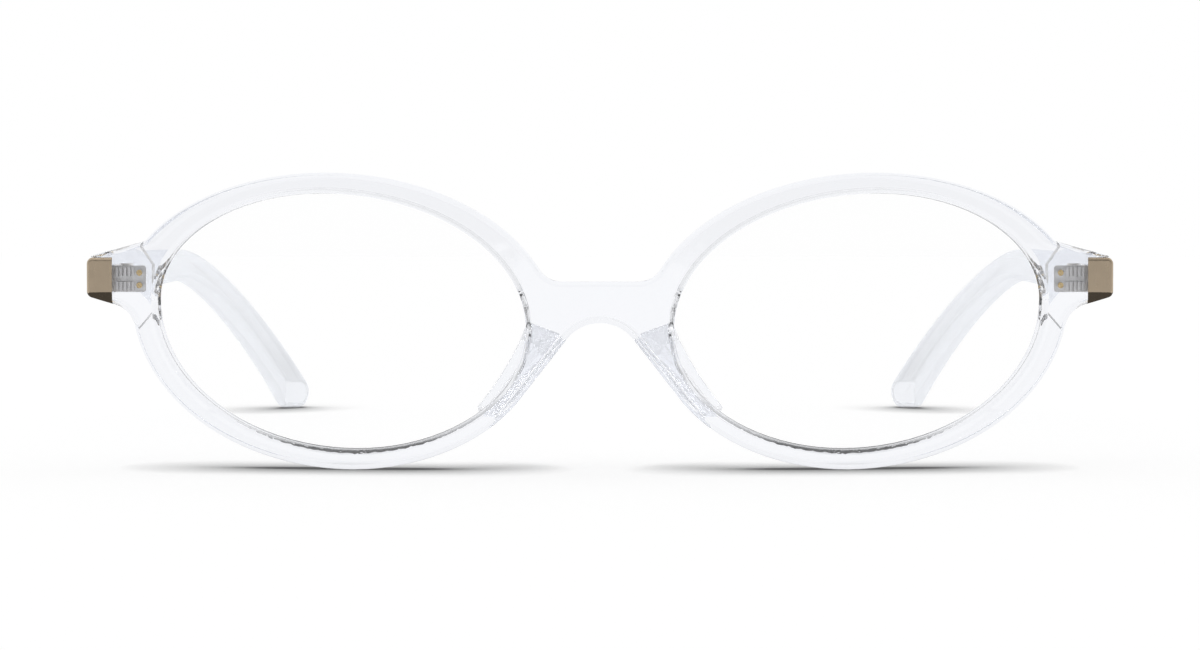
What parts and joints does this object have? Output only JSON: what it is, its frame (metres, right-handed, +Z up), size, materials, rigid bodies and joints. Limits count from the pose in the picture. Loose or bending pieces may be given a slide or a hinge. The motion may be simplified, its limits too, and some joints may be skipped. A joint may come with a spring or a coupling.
{
  "type": "eyeglasses",
  "caption": "Clear plastic oval eyeglass frame with bonded nose pads, folding temples with turned-down ends and taupe gold metal corner plaques.",
  "frame": {"origin": "on the ground under the middle of the open glasses, halfway between the front and the temple tips", "axes": "+X to the wearer's left, +Y back along the temples, +Z up"},
  "size_m": [0.1406, 0.1428, 0.0398],
  "materials": {
    "clear_plastic": "polished clear acetate",
    "clear_lens": "clear demonstration lens",
    "plaque_metal": "fine brushed, taupe gold",
    "hinge_metal": "nickel plated",
    "rivet_brass": "plain"
  },
  "bodies": {
    "front_frame": {"front": "clear_plastic", "lens_left": "clear_lens", "nose_pad_left": "clear_plastic", "corner_plaque_left": "plaque_metal", "hinge_front_leaf_left": "hinge_metal", "front_rivets_left": "rivet_brass", "hinge_screw_left": "hinge_metal", "lens_right": "clear_lens", "nose_pad_right": "clear_plastic", "corner_plaque_right": "plaque_metal", "hinge_front_leaf_right": "hinge_metal", "front_rivets_right": "rivet_brass", "hinge_screw_right": "hinge_metal"},
    "left_temple": {"temple_left": "clear_plastic", "hinge_temple_leaf_left": "hinge_metal", "temple_rivets_left": "rivet_brass"},
    "right_temple": {"temple_right": "clear_plastic", "hinge_temple_leaf_right": "hinge_metal", "temple_rivets_right": "rivet_brass"}
  },
  "joints": [
    {"name": "left_temple_fold", "type": "hinge", "parent": "front_frame", "child": "left_temple", "pos_m": [0.06435, -0.05805, 0.02543], "axis": [0, 0, 1], "range_deg": [0, 85]},
    {"name": "right_temple_fold", "type": "hinge", "parent": "front_frame", "child": "right_temple", "pos_m": [-0.06435, -0.05805, 0.02543], "axis": [0, 0, -1], "range_deg": [0, 73]}
  ]
}
